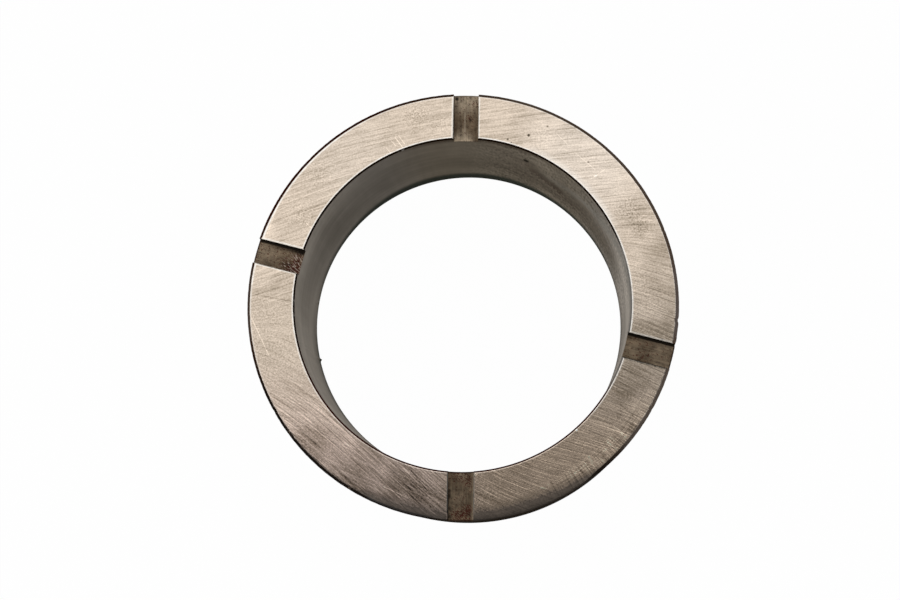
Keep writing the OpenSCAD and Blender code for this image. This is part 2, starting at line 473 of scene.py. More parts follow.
@dataclass(frozen=True)
class GroundFace:
    """The thrust face: bare steel with the strokes of grinding, darker where the wheel missed the rim, and
    painted light: a paler sheen at the top, a shaded hue low down, bright edge highlights and painted shade
    on the rim low down.
    """

    steel: Colour = (0.625, 0.526, 0.428)
    # The pale colour paints the sheen of the lit top. The next two paint the hue of the shaded lower part,
    # left and right.
    pale: Colour = (0.640, 0.554, 0.468)
    shaded_left_hue: Colour = (0.625, 0.496, 0.420)
    shaded_right_hue: Colour = (0.625, 0.492, 0.376)
    warm: Colour = (1.0, 0.93, 0.78)
    skin: Colour = (0.150, 0.124, 0.104)
    # Colour of the painted highlights along the edges.
    edge: Colour = (0.97, 0.93, 0.87)
    # Near black: painted shade on the rim low at the left.
    grime_and_shade: Colour = (0.014, 0.010, 0.008)
    scale: Colour = (0.036, 0.007, 0.003)
    stain: Point = (17.75, 31.5)
    stain_radius: float = 1.15
    inner: float = 32.05
    outer: float = 40.3
    slot_half: float = 2.55
    passes: tuple[Point, ...] = ((90.0, -0.3), (166.0, 0.0))
    bright: float = math.radians(148.0)
    arc_radius: float = 38.0

    def dress(self, paint: Paint) -> None:
        """Builds the finish.

        Args:
            paint: the material's empty tree.
        """
        here = paint.flat_place()
        x, y, radius, turned = here
        strokes, relief = self.strokes(paint, here)
        tone = strokes
        broken = paint.clamp(paint.grain(x, y, 14.0, 2.0, 0.6, 1.7) * 2.0 - 0.15)
        for mark in SCRATCHES:
            tone = tone + paint.line(x, y, mark) * broken * mark.tone
        # The spots add pits and stains, and broad patches of painted light and shade.
        tone = paint.patches(x, y, SPOTS, tone, 1.4, 0.6)
        ring = paint.hypot(x - self.stain[0], y - self.stain[1]) - self.stain_radius
        tone = tone - paint.step(abs(ring), 0.35, 0.0) * 0.09
        # Painted sheen: towards the top the steel is mixed paler, where it mirrors the overhead lamp.
        base = paint.mix(paint.clamp(paint.patches(x, y, PAINTED_SHEEN)), self.steel, self.pale)
        # Painted shade: low down the steel takes the hue of its shaded side, pinker at the left and yellower
        # at the right.
        lower = paint.mix(paint.step(x, -8.0, 8.0), self.shaded_left_hue, self.shaded_right_hue)
        base = paint.mix(paint.step(y, -8.0, -30.0), base, lower)
        base = paint.mix(paint.clamp(1.0 - tone), base, self.warm, "MULTIPLY")
        base = paint.scaled(base, tone.most(0.03))
        # Painted highlight along the broken edges of the face.
        base = paint.mix(self.edge_highlights(paint, here), base, self.edge)
        skin = paint.wire("ShaderNodeAttribute", {"attribute_name": SKIN}, output="Fac")
        rag = paint.grain(x, y, 0.0, 3.0, 0.6, 1.6)
        missed = paint.step(skin + (rag - 0.5) * 0.5 - (strokes - 1.0) * 0.5, 0.10, 0.55)
        missed = missed * paint.step(skin, 0.0, 0.1)
        crust = paint.grain(x, y, 2.0, 3.0, 0.6, 2.2)
        # The skin is darkened further towards the rim: painted shade where the unground rim rolls off,
        # facing away from the lamp.
        shade = (0.55 + crust * 0.8 + (strokes - 1.0) * 0.5) * (1.05 - paint.step(skin, 0.78, 1.0) * 0.5)
        base = paint.mix(missed * 0.9, base, paint.scaled(self.skin, shade.most(0.05)))
        # Low at the left the rim is painted near black, as painted shade where the edge turns away from the
        # light. At the upper left is a thin line of heat scale.
        beyond = radius - self.outer
        brink = paint.step(beyond, -0.02, 0.05) * paint.sector(turned, 252.5, 13.5, 6.0)
        lip = paint.step(beyond, -0.12, -0.06) * paint.sector(turned, 134.0, 30.0, 10.0)
        base = paint.coats(base, (brink, self.grime_and_shade), (lip, self.scale))
        plain = brink.most(lip)
        missed = missed.most(plain)
        rough = paint.blend(missed, 0.20 + (crust - 0.5) * 0.08, 0.42)
        height = paint.blend(missed, relief, crust * 15.0 * MICRON)
        paint.close(base, rough, (1.0 - missed * 0.2) * (1.0 - plain), paint.bump(height))

    def strokes(self, paint: Paint, here: FlatPlace) -> tuple[Wire, Wire]:
        """Draws the crossing strokes of grinding.

        Args:
            paint: the material's tree.
            here: the place on the face, as flat_place gives it.

        Returns:
            How light the metal is, about 1, and its height in metres.
        """
        x, y, radius, turned = here
        along, across = paint.lay()
        fine = paint.grain(along * 0.12, across * 3.9, 0.0, 1.0, 0.6)
        short = paint.grain(along * 0.45, across * 2.3, 7.0, 1.0, 0.6)
        band = paint.grain(along * 0.05, across * 0.7, 5.0, 2.0, 0.6)
        mottle = paint.grain(x, y, 9.0, 1.0, 0.6, 3.1)
        cloud = paint.grain(x, y, 6.0, 2.0, 0.5, 0.16)
        patchy = paint.clamp(paint.grain(x, y, 12.0, 2.0, 0.6, 0.35) * 2.6 - 0.75)
        fade = paint.clamp(paint.grain(along * 0.13, across * 0.45, 31.0) * 3.4 - 1.2)
        dark = paint.thread(along * 0.022, across * 0.85, 3.0, 0.06) * fade
        scored = paint.thread(along * 0.03, across * 0.8 + along * 0.05, 23.0, 0.05) * (1.0 - fade)
        light = paint.thread(along * 0.03, across * 1.05 - along * 0.03, 1.0, 0.05)
        drawn = paint.thread(along * 0.017, across * 0.48, 41.0, 0.036)
        drawn = drawn * paint.clamp(paint.grain(along * 0.09, across * 0.5, 43.0) * 4.0 - 1.5)
        crossing = paint.thread(along * 0.03, across * 0.75 - along * 0.24, 2.0, 0.05) * patchy
        steep = paint.thread(across * 0.12, along * 0.9, 4.0, 0.03) * patchy
        low = paint.step(y, -12.0, -27.0)
        left = low * paint.step(x, 8.0, -8.0)
        busy = paint.clamp(paint.patches(x, y, BUSY))
        tone = (fine - 0.5) * (0.80 + low * 0.35) + (short - 0.5) * (0.34 + low * 0.15)
        tone = tone + (band - 0.5) * 0.22
        calm = paint.sector(turned, 192.0, 17.0, 10.0)
        tone = tone * (1.0 - calm * 0.55)
        coarse = 0.74 + low * 0.42 + busy * 0.9 + calm * 0.35
        tone = tone + (mottle - 0.5) * coarse - busy * 0.03 + (cloud - 0.5) * 0.24
        lines = light * (0.06 + low * 0.08 + left * 0.25) + crossing * (0.05 + low * 0.06 + left * 0.30)
        lines = lines - dark * (0.21 + left * 0.17) - scored * (0.15 + left * 0.11)
        lines = lines - drawn * (0.17 - left * 0.07)
        knocks = paint.sector(turned, 314.0, 14.0, 9.0)
        tone = tone * (1.0 - knocks * 0.15) * (1.0 + paint.sector(turned, 334.0, 11.0, 6.0) * 0.25)
        tone = tone + steep * (0.07 + knocks * 0.22) + lines * (1.0 - calm * 0.6)
        tone = 1.0 + tone * (1.0 - paint.sector(turned, 240.0, 20.0, 12.0) * 0.16)
        arc = paint.maths("ARCTAN2", y, x) * self.arc_radius
        sector = paint.between(arc, -46.0, -40.0, -25.0, -11.0)
        corner = paint.step(radius, 36.9, 37.9) * sector
        hatch = paint.thread(radius * 0.05, arc * 1.1, 11.0, 0.06) * corner
        gouge = paint.thread(radius * 0.05, arc * 0.9, 17.0, 0.05) * corner
        comb = paint.grain(radius * 0.22, arc * 2.6, 47.0) - 0.5
        turns = paint.grain(arc * 0.16, radius * 3.6, 53.0) - 0.5
        # A lighter band round radius 37.4 in this corner: painted glare along the ridge where the strokes
        # are rubbed.
        rubbed = paint.step(abs(radius - 37.4), 0.7, 0.15) * sector * (0.05 + patchy * 0.18)
        rounds = paint.thread(arc * 0.03, radius * 1.15, 19.0, 0.06) * sector
        rounds = rounds * paint.between(radius, 36.3, 37.0, 39.6, 40.2)
        tone = 1.0 + (tone - 1.0) * (1.0 - corner * 0.62) + corner * (comb * 1.3 + turns * 1.1)
        tone = tone + hatch * (0.15 + patchy * 0.30) - gouge * 0.27 + rubbed + rounds * 0.23
        relief = fine * 3.0 + short * 2.0 + band * 8.0 + mottle * 1.5
        relief = relief - dark * 2.5 - scored * 2.0 - light * 1.5 - (hatch + gouge) * 2.0
        return tone, relief * (1.0 + low * 0.6) * MICRON

    def edge_highlights(self, paint: Paint, here: FlatPlace) -> Wire:
        """Masks the painted highlight: a narrow bright line along the face's broken edges, stronger towards
        the top and fading low down.

        Args:
            paint: the material's tree.
            here: the place on the face, as flat_place gives it.

        Returns:
            How far the line covers the face.
        """
        x, y, radius, turned = here
        worn = paint.grain(x, y, 4.0, 2.0, 0.6, 1.1)
        mask = paint.step(radius, self.inner + 0.34, self.inner + 0.12)
        glow = paint.step(radius, self.inner + 1.5, self.inner + 0.2) * 0.42
        mask = mask.most(glow * paint.sector(turned, 47.0, 27.0, 16.0))
        left = paint.step(x * math.cos(self.bright) + y * math.sin(self.bright), 32.0, 39.0)
        reach = paint.step(radius + left * 0.16, self.outer - 0.34, self.outer - 0.14)
        mask = mask.most(reach * (0.45 + left * 0.5))
        for angle, offset in self.passes:
            turn = math.radians(angle)
            aside = abs(y * math.cos(turn) - x * math.sin(turn) - offset)
            beside = paint.step(aside, self.slot_half + 0.24, self.slot_half + 0.08)
            mask = mask.most(beside * paint.blend(paint.step(y, 2.0, -16.0), 0.85, 0.1))
        share = paint.blend(paint.step(y, -4.0, -26.0), 0.95, 0.25)
        share = share + paint.sector(turned, 328.0, 10.0, 5.0) * 0.35
        return mask * paint.clamp(worn * 1.8 - 0.1) * share


@dataclass(frozen=True)
class MilledSlot:
    """The slots: brown, oily floors with lengthwise cutter marks, a little rust, black corners of grime and
    painted shadow, and painted light beside the bottom slot's right wall.
    """

    floor: Colour = (0.150, 0.108, 0.068)
    pale: Colour = (0.50, 0.40, 0.285)
    streak: Colour = (0.42, 0.34, 0.25)
    # Near black: grime, and painted shadow beside the walls.
    grime_and_shade: Colour = (0.008, 0.006, 0.0045)
    scale: Colour = (0.030, 0.012, 0.007)
    rust: Colour = (0.105, 0.021, 0.014)
    fleck: Colour = (0.50, 0.40, 0.33)
    outer: float = 40.85
    inner: float = 31.75

    def dress(self, paint: Paint) -> None:
        """Builds the finish.

        Args:
            paint: the material's empty tree.
        """
        along, across = paint.lay()
        place = paint.place()
        x, y, radius, _ = paint.flat_place()
        deep = paint.step(y, -10.0, -20.0)
        aslant = abs(x) > 20.0
        streak = paint.grain(along * 0.16, across * 3.4, 0.0, 3.0, 0.65)
        patch = paint.noise(place, 900.0, 3.0, 0.65)
        cloud = paint.noise(place, 260.0, 2.0, 0.5)
        tone = 1.0 + (streak - 0.5) * 1.8 + (patch - 0.5) * 2.0 + (cloud - 0.5) * 1.0
        light = paint.clamp(paint.patches(x, y, LIGHT_FLOORS) + (cloud - 0.5) * 0.5)
        base = paint.scaled(paint.mix(light * 0.92, self.floor, self.pale), tone.most(0.1))
        blotch = paint.grain((x + y) * 3.3, (x - y) * 1.4, 0.0, 2.0, 0.7)
        spread = paint.patches(x, y, RUST)
        for mark in FLOOR_MARKS:
            base = paint.mix(paint.line(x, y, mark) * mark.tone * (0.4 + patch), base, self.streak)
        red = paint.step(blotch + spread * 0.17 + (x < -20.0) * 0.025, 0.58, 0.66)
        base = paint.mix(red * 0.95, base, paint.scaled(self.rust, 0.05 + patch * 1.2))
        cuts = paint.grain((x + y) * 3.6, (x - y) * 0.65, 5.0)
        fleck = paint.step(cuts, 0.56, 0.60) * paint.clamp(spread * 2.2)
        base = paint.mix(fleck * paint.step(x, -12.0, -20.0) * 0.9, base, self.fleck)
        side = across * (1.0 - aslant * 2.0) + (patch - 0.5) * 0.4
        above = paint.step(y, 20.0, 30.0)
        # Black along the walls: painted shadow of the walls, with grime and soot in it.
        black = paint.step(side, 2.12 - aslant * 0.34 + above * 0.10, 2.38 - aslant * 0.26 + above * 0.04)
        black = black * (1.0 - deep * paint.step(y, -36.6, -35.0))
        black = black.most(paint.step(side, -2.2, -2.45) * (0.5 - above * 0.4) * (1.0 - deep))
        black = black.most(paint.clamp(paint.patches(x, y, SOOT) * (0.4 + patch * 1.2)))
        radius = radius + (patch - 0.5) * 0.25
        # A thin dark line along the floors' outer ends, and along the inner end of the bottom slot.
        rim = paint.step(radius, self.outer - 0.36, self.outer - 0.16) * (1.0 - (y > 30.0) * 0.6)
        rim = rim.most(paint.step(radius, self.inner + 0.34, self.inner + 0.14) * deep)
        # Painted light: the bottom slot's floor is lightened beside its right wall, against the shade in
        # that corner.
        bright = paint.step(side, -1.8, -2.25) * deep * 0.4
        base = paint.coats(base, (bright, self.pale), (black * 0.96, self.grime_and_shade), (rim * 0.85, self.scale))
        normal = paint.bump((streak * 12.0 + patch * 15.0) * MICRON)
        paint.close(base, 0.48 + (patch - 0.5) * 0.3, 0.3, normal, tint=(0.8, 0.65, 0.5), level=0.1)


@dataclass(frozen=True)
class SlotWall:
    """The upright sides of the slots, black with old oil and painted shade."""

    # Near black: old oil and painted shade.
    grime_and_shade: Colour = (0.007, 0.0055, 0.004)
    brown: Colour = (0.075, 0.055, 0.040)

    def dress(self, paint: Paint) -> None:
        """Builds the finish.

        Args:
            paint: the material's empty tree.
        """
        place = paint.place()
        _, y, _ = paint.split(place)
        patch = paint.noise(place, 1100.0, 3.0, 0.6)
        bare = paint.between(y, -0.0362, -0.0350, -0.031, -0.030)
        # Near black: painted shade with old oil, and brown low on the bottom slot.
        base = paint.scaled(paint.mix(bare, self.grime_and_shade, self.brown), 0.4 + patch * 1.2)
        paint.close(base, 0.5 + patch * 0.2, 0.0, paint.bump(patch * 10.0 * MICRON), level=0.0)


@dataclass(frozen=True)
class SlotEdge:
    """The bright broken edges along the slots, dimmed by painted shade towards the bottom."""

    steel: Colour = (0.82, 0.75, 0.66)

    def dress(self, paint: Paint) -> None:
        """Builds the finish.

        Args:
            paint: the material's empty tree.
        """
        place = paint.place()
        x, y, _ = paint.split(place)
        worn = paint.noise(place, 900.0, 2.0)
        # Painted shade: the edges dim from the upper slots to the lower ones, less on the bottom slot's
        # right side. The right slot's lower edge is darker still.
        shade = paint.blend(paint.step(y, 0.002, -0.016), 1.1, 0.16 + paint.step(x, -0.001, 0.001) * 0.22)
        dull = paint.step(x, 0.020, 0.025) * paint.step(y + x * 0.2493, 0.0, -0.001)
        shade = shade * (1.0 - dull * 0.8)
        base = paint.scaled(self.steel, (0.5 + worn * 0.9) * shade)
        paint.close(base, 0.3 + worn * 0.1, 1.0, paint.bump(worn * 5.0 * MICRON))


@dataclass(frozen=True)
class Tint:
    """A stretch of a chamfer with a colour of its own: its middle and its reach, in degrees."""

    middle: float
    half: float
    colour: Colour
    share: float


@dataclass(frozen=True)
class DarkEdge:
    """A chamfer that still has its dark heat scale, rubbed in places and along one sector, with a colour of
    its own towards -Y: near-black painted shade on the outer chamfer, a reddish brown on the bore's chamfer.
    """

    scale: Colour = (0.048, 0.021, 0.010)
    # Colour towards -Y. On the outer chamfer it is painted shade.
    bottom_colour: Colour = (0.014, 0.010, 0.008)
    rubbed: Colour = (0.15, 0.11, 0.08)
    share: float = 0.5
    spacing: float = 620.0
    sector: float = 0.0
    spread: float = 0.0
    tints: tuple[Tint, ...] = ()

    def dress(self, paint: Paint) -> None:
        """Builds the finish.

        Args:
            paint: the material's empty tree.
        """
        place = paint.place()
        crust = paint.noise(place, self.spacing, 3.0, 0.6)
        worn = paint.step(crust, 0.70 - self.share * 0.2, 0.82 - self.share * 0.2)
        x, y, _ = paint.split(place)
        turn = math.radians(self.sector)
        nearness = (x * math.cos(turn) + y * math.sin(turn)) / paint.hypot(x, y)
        edge = math.cos(math.radians(self.spread))
        worn = worn.most(paint.step(nearness, edge, (1 + edge) / 2) * (0.55 + crust * 0.5))
        # Towards -Y the chamfer takes its bottom colour, which on the outer chamfer is near-black painted
        # shade where it faces away from the lamp.
        dark = paint.mix(paint.step(y, -0.004, -0.020), self.scale, self.bottom_colour)
        base = paint.mix(worn, dark, self.rubbed)
        turned = paint.turned(x, y)
        for tint in self.tints:
            stretch = paint.sector(turned, tint.middle, tint.half, tint.half * 0.35)
            base = paint.mix(stretch * tint.share * (0.6 + crust * 0.6), base, tint.colour)
        normal = paint.bump(crust * 20.0 * MICRON)
        paint.close(base, 0.65 - worn * 0.2, worn * 0.4, normal, tint=(0.7, 0.55, 0.4), level=0.0)


@dataclass(frozen=True)
class BoredWall:
    """The bore: smooth dark metal, brown with old oil low down on one side, with faint marks round it, and
    painted light: bands where it reflects the lamps, gleaming lines, a painted shadow under the front edge
    and painted shade deep down and at the foot.
    """

    steel: Colour = (0.195, 0.178, 0.158)
    warm: Colour = (0.186, 0.161, 0.128)
    oil: Colour = (0.140, 0.118, 0.093)
    gleam: Colour = (0.31, 0.30, 0.27)
    # Dark greenish painted shade at the foot of the bore.
    rim: Colour = (0.046, 0.056, 0.048)
    pit: Colour = (0.008, 0.007, 0.006)
    # Dark oil streaks, and the painted shadow under the front edge.
    stain: Colour = (0.036, 0.021, 0.015)
    height: float = 31.75
    radius: float = 31.75
    slope: Point = (0.53, 0.85)
    mark: Point = (67.9, 7.6)
    streaks: tuple[Mark, ...] = (
        Mark((36.6, 9.0), (35.1, 13.8), 3.2, 0.28), Mark((35.1, 13.8), (30.6, 17.1), 3.6, 0.46),
        Mark((30.6, 17.1), (27.0, 20.5), 4.0, 0.20), Mark((45.0, 4.0), (38.0, 10.0), 2.6, 0.16),
        Mark((29.0, 11.5), (24.0, 16.0), 3.4, 0.20), Mark((26.0, 18.0), (21.0, 22.0), 3.4, 0.12),
    )

    def dress(self, paint: Paint) -> None:
        """Builds the finish.

        Args:
            paint: the material's empty tree.
        """
        x, y, z = paint.split(paint.place())
        depth = self.height - z * TO_MM
        angle = paint.maths("ARCTAN2", y, x) * TO_DEGREES
        turned = paint.turned(x, y, -90.0)
        rings = paint.grain(x * 40.0, y * 40.0, z * 620.0, 3.0, 0.65)
        upright = paint.grain(x * 700.0, y * 700.0, z * 60.0, 2.0, 0.6)
        cloud = paint.grain(x, y, z, 3.0, 0.55, 75.0)
        base = paint.mix(paint.step(abs(turned - 75.0), 50.0, 22.0), self.steel, self.warm)
        base = paint.scaled(base, 0.62 + (rings - 0.5) * 0.45 + (upright - 0.5) * 0.2 + cloud * 0.75)
        # Painted light and shade: the bore is lightened in bands by angle and depth as painted reflections
        # of the lamps, and darkened deep down towards -Y as painted shade.
        right = paint.step(turned, 52.0, 4.0)
        belt = paint.step(abs(depth - 9.0), 9.0, 1.0)
        left = paint.step(turned, 145.0, 215.0)
        ledge = paint.step(depth, 11.0, 3.0) * paint.step(abs(turned - 157.0), 34.0, 10.0)
        shelf = paint.step(abs(depth - 6.5), 4.0, 1.0) * paint.step(turned, 174.0, 188.0)
        ends = paint.step(depth, 21.0, 28.0) * paint.step(abs(turned - 92.0), 76.0, 100.0)
        glow = 1.0 + right * (1.16 + belt * 0.68) + left * 1.12 + ledge * 0.65 + shelf * 0.32
        glow = glow + paint.sector(turned, 52.0, 19.0, 12.0) * 0.22
        lit = paint.sector(turned, 130.0, 88.0, 20.0) * 0.16 + paint.sector(turned, 72.0, 32.0, 14.0) * 0.26
        glow = glow + paint.step(depth, 19.5, 24.5) * lit + paint.sector(turned, 62.0, 10.0, 8.0) * 0.12
        base = paint.scaled(base, glow * (1.0 - ends * 0.42))
        side = paint.between(angle, 8.0, 30.0, 66.0, 88.0)
        round_bore = angle * (TO_RADIANS * self.radius)
        athwart = round_bore * self.slope[0] + depth * self.slope[1]
        downhill = depth * self.slope[0] - round_bore * self.slope[1]
        smear = paint.grain(athwart * 0.75, downhill * 0.1, 3.0, 2.0, 0.6)
        grit = paint.grain(round_bore * 2.0, depth * 0.65, 8.0)
        ragged = depth + (cloud - 0.5) * 18.0 + (smear - 0.5) * 30.0 + (grit - 0.5) * 16.0
        low = paint.step(ragged, 7.0, 17.0) * paint.blend(paint.step(depth, 22.0, 29.0), 1.0, 0.35)
        base = paint.mix(side * low * 0.85, base, self.oil)
        zone = paint.between(angle, -6.0, 12.0, 74.0, 96.0)
        base = paint.scaled(base, 1.0 + zone * ((smear - 0.5) * 1.2 + (grit - 0.5) * 1.7 + 0.06))
        for streak in self.streaks:
            share = paint.line(round_bore, depth + (grit - 0.5) * 8.0, streak) * streak.tone
            base = paint.mix(share, base, self.stain)
        # A painted shadow just below the front edge at the top, in the stain colour.
        under = paint.step(depth, 2.8, 0.6) * paint.sector(turned, 84.0, 36.0, 22.0)
        # Painted highlights on the right of the bore, in the gleam colour: a broad crest and a narrow line.
        off = abs(depth + (cloud - 0.5) * 5.0 + (grit - 0.5) * 3.0 - (angle * 0.20 + 0.5))
        crest = paint.step(off, 3.0, 0.4) * paint.between(angle, -14.0, 4.0, 34.0, 72.0)
        line = paint.step(abs(depth - (angle * 0.11 + 0.9)), 1.1, 0.3)
        line = line * paint.between(angle, 2.0, 12.0, 30.0, 44.0) * paint.clamp(grit * 2.4 - 0.5)
        # A dark line of painted shade low on the bore, just above its back edge.
        spread = paint.step(abs(turned - 95.0), 14.0, 56.0)
        foot = paint.step(depth - spread * 1.6, self.height - 5.8, self.height - 2.8)
        share = paint.step(abs(turned - 90.0), 92.0, 42.0).most(paint.step(turned, 183.0, 193.0) * 0.7)
        foot = foot * paint.blend(share, 0.2, 1.0)
        off = paint.hypot((angle - self.mark[0]) * 0.42, (depth - self.mark[1]) * 0.55)
        base = paint.coats(base, (under * 0.55, self.stain), (crest * 0.5, self.gleam),
                           (line * 0.75, self.gleam), (foot * 0.95, self.rim),
                           (paint.step(off, 0.55, 0.35) * 0.97, self.pit))
        rough = 0.45 + (cloud - 0.5) * 0.2
        normal = paint.bump((rings * 4.0 + upright * 2.0) * MICRON)
        paint.close(base, rough, 0.30 - foot * 0.15, normal, tint=(0.45, 0.42, 0.37), level=0.0)


@dataclass(frozen=True)
class TurnedWall:
    """The outside and the back: turned steel under a dark brown film of scale and old oil, darkened towards
    -Y by painted shade.
    """

    steel: Colour = (0.105, 0.082, 0.062)
    film: Colour = (0.040, 0.028, 0.020)

    def dress(self, paint: Paint) -> None:
        """Builds the finish.

        Args:
            paint: the material's empty tree.
        """
        x, y, z = paint.split(paint.place())
        radius = paint.hypot(x, y)
        rings = paint.grain(x * 20.0, y * 20.0, (z + radius) * 2400.0, 2.0, 0.6)
        bands = paint.grain(x * 12.0, y * 12.0, (z + radius) * 520.0, 3.0, 0.65)
        cloud = paint.grain(x, y, z * 2.2, 4.0, 0.62, 70.0)
        base = paint.mix(paint.step(cloud, 0.36, 0.74) * 0.75, self.steel, self.film)
        grain = 0.45 + rings * 0.45 + bands * 0.65
        # Painted shade: towards -Y the metal is darkened, where it faces away from the lamp.
        upper = paint.step(y, -0.020, 0.0)
        base = paint.scaled(base, grain * paint.blend(upper, 0.35, 1.0))
        rough = 0.50 + (cloud - 0.5) * 0.25
        normal = paint.bump(rings * 5.0 * MICRON)
        paint.close(base, rough, upper * (0.25 + cloud * 0.4), normal, tint=(0.35, 0.29, 0.24), level=0.0)


class Region(Enum):
    """A surface of the ring, with the finish that it takes."""

    THRUST_FACE = GroundFace()
    SLOT = MilledSlot()
    SLOT_WALL = SlotWall()
    SLOT_EDGE = SlotEdge()
    OUTER_CHAMFER = DarkEdge(rubbed=(0.105, 0.078, 0.060), sector=22.0, spread=75.0, tints=(
        Tint(286.5, 23.5, (0.070, 0.058, 0.050), 0.9), Tint(134.0, 32.0, (0.036, 0.006, 0.002), 1.0),
        Tint(181.0, 11.0, (0.085, 0.062, 0.050), 0.8), Tint(1.0, 11.0, (0.15, 0.125, 0.115), 0.7),
        Tint(331.0, 15.0, (0.13, 0.108, 0.092), 0.5)))
    BORE_CHAMFER = DarkEdge(scale=(0.011, 0.005, 0.002), bottom_colour=(0.046, 0.006, 0.002),
                            rubbed=(0.28, 0.265, 0.245), share=0.2, sector=-4.0, spread=30.0)
    BORE = BoredWall()
    TURNED = TurnedWall()

    def material(self) -> bpy.types.Material:
        """Makes the material that dresses this surface.

        Returns:
            The finished material.
        """
        made = bpy.data.materials.new(self.name.lower())
        self.value.dress(Paint(made))
        return made


@dataclass(frozen=True)
class Stroke:
    """The way that the grinding strokes lie at one place round the face, both in degrees."""

    place: float
    lean: float


STROKES = (
    Stroke(0, -20), Stroke(15, -14), Stroke(30, 8), Stroke(45, 6), Stroke(60, 5), Stroke(75, 9),
    Stroke(100, 10), Stroke(120, 15), Stroke(135, 20), Stroke(155, 21), Stroke(178, 20), Stroke(187, 4),
    Stroke(196, -27), Stroke(205, -30), Stroke(225, -41), Stroke(260, -43), Stroke(280, -26),
    Stroke(300, -13), Stroke(315, -18), Stroke(335, -27), Stroke(350, -24),
)


@dataclass(frozen=True)
class Nick:
    """A dent or a lump at an edge: place and half width in degrees, and how far out it moves the edge."""

    angle: float
    spread: float
    reach: float


NICKS = (
    Nick(355.8, 0.9, -0.20 * MM), Nick(352.2, 1.3, -0.02 * MM), Nick(349.4, 0.7, -0.10 * MM),
    Nick(331.0, 0.6, -0.08 * MM), Nick(20.5, 0.5, -0.07 * MM), Nick(137.0, 0.6, -0.06 * MM),
    Nick(211.0, 0.7, -0.08 * MM), Nick(302.0, 0.8, -0.10 * MM),
)
BURR = Nick(193.7, 0.75, -0.38 * MM)


class FormTree(Tree):
    """A Geometry Nodes tree with named inputs, which makes the ring's mesh."""

    def __init__(self, name: str) -> None:
        """Makes the tree with its two ends.

        Args:
            name: the tree's name.
        """
        super().__init__(bpy.data.node_groups.new(name, "GeometryNodeTree"))
        self.start = self.node("NodeGroupInput")
        self.end = self.node("NodeGroupOutput")
        self.sockets: dict[str, str] = {}
        self.tree.interface.new_socket("Geometry", in_out="OUTPUT", socket_type="NodeSocketGeometry")

    def size(self, name: str, kind: str = "NodeSocketFloat") -> Wire:
        """Adds a named input.

        Args:
            name: the input's name.
            kind: its socket type.

        Returns:
            The input's value.
        """
        made = self.tree.interface.new_socket(name, in_out="INPUT", socket_type=kind)
        self.sockets[name] = made.identifier
        return Wire(self, self.start.outputs[name])

    def choose(self, kind: str, choices: Iterable[Any]) -> Wire:
        """Gives each element one of several values, by its index.

        Args:
            kind: the type of the values.
            choices: the values in order.

        Returns:
            The value as a field.
        """
        choices = list(choices)
        switch = self.node("GeometryNodeIndexSwitch", {"data_type": kind})
        while len(switch.index_switch_items) < len(choices):
            switch.index_switch_items.new()
        self.feed(switch.inputs[0], self.wire("GeometryNodeInputIndex"))
        for number, value in enumerate(choices):
            self.feed(switch.inputs[number + 1], value)
        return Wire(self, switch.outputs[0])

    def sweep(self, path: Wire, corners: list[Corner], steps: int, caps: bool) -> Wire:
        """Sweeps a closed section along a level path.

        Args:
            path: the curve that it follows.
            corners: each corner's distance to the side, its height and its rounding radius, in order.
            steps: how many new points make a rounding.
            caps: whether the ends are closed.

        Returns:
            The swept mesh.
        """
        corners = [(x, -y, radius) for x, y, radius in reversed(corners)]
        spots = self.choose("VECTOR", [self.combine(x, y) for x, y, _ in corners])
        points = self.wire("GeometryNodePoints", None, {"Count": len(corners), "Position": spots})
        curve = self.wire("GeometryNodePointsToCurves", None, {0: points})
        curve = self.wire("GeometryNodeSetSplineCyclic", None, {"Geometry": curve, "Cyclic": True})
        radii = self.choose("FLOAT", [radius for _, _, radius in corners])
        section = self.wire("GeometryNodeFilletCurve", {"mode": "POLY"},
                            {"Curve": curve, "Count": steps, "Radius": radii, "Limit Radius": True})
        return self.wire("GeometryNodeCurveToMesh", None,
                         {"Curve": path, "Profile Curve": section, "Fill Caps": caps})

    def coat(self, geometry: Wire, material: bpy.types.Material,
             selection: Union[Wire, bool] = True) -> Wire:
        """Returns the geometry with a material on its selected faces."""
        return self.wire("GeometryNodeSetMaterial", None,
                         {"Geometry": geometry, "Selection": selection, "Material": material})

    def finish(self, geometry: Wire) -> None:
        """Ends the tree."""
        self.feed(self.end.inputs[0], geometry)


